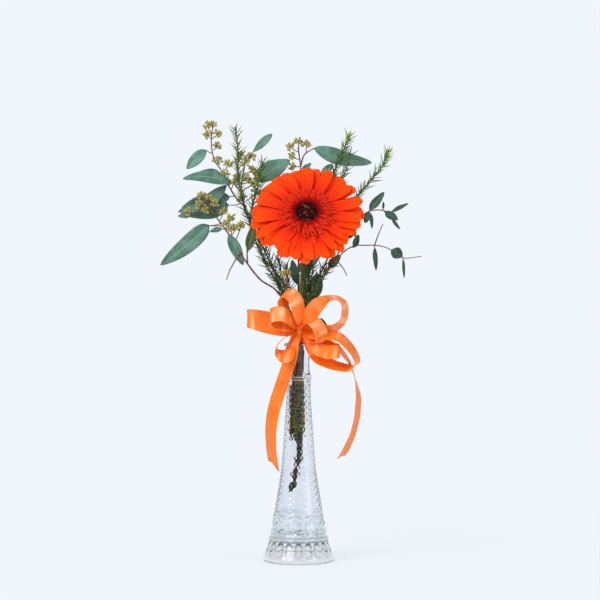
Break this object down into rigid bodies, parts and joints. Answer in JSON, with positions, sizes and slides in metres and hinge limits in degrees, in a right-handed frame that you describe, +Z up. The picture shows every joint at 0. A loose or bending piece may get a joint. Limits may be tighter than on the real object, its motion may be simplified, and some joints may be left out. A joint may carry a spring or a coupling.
{
  "type": "gerbera in vase",
  "caption": "Single orange gerbera bloom with seeded eucalyptus and needle foliage, tied with a satin bow, in a slim clear pressed glass bud vase with water.",
  "frame": {"origin": "centre of the underside of the vase, on the surface that it stands on", "axes": "+Z up along the axis of the vase, the bloom faces -Y, +X to the right when the bloom is seen from the front"},
  "size_m": [0.2619, 0.0877, 0.4442],
  "materials": {
    "glass": "clear pressed glass, faint green in the thick foot",
    "water": "clear still water",
    "stalk": "soft ribbed green stalk, brownish red on one side",
    "ray": "matt velvety orange, red towards the middle",
    "floret": "matt deep red",
    "disc": "near black maroon with pale specks",
    "eucalyptus": "waxy blue green leaves, olive buds, brown stems",
    "needle": "slim dark green needles on thin brown stems",
    "twig": "grey green leathery leaves on a thin brown twig",
    "ribbon": "orange satin with soft sheen"
  },
  "bodies": {
    "root": {"vase": "glass", "water": "water", "gerbera_scape": "stalk", "gerbera_rays": "ray", "gerbera_inner_florets": "floret", "gerbera_disc": "disc", "eucalyptus_left": "eucalyptus", "eucalyptus_low": "eucalyptus", "eucalyptus_top": "eucalyptus", "needle_sprig_tall": "needle", "needle_sprig_low": "needle", "needle_sprig_right": "needle", "needle_sprig_far": "needle", "needle_sprig_fan": "needle", "gum_twig": "twig", "ribbon_bow": "ribbon"}
  },
  "joints": []
}
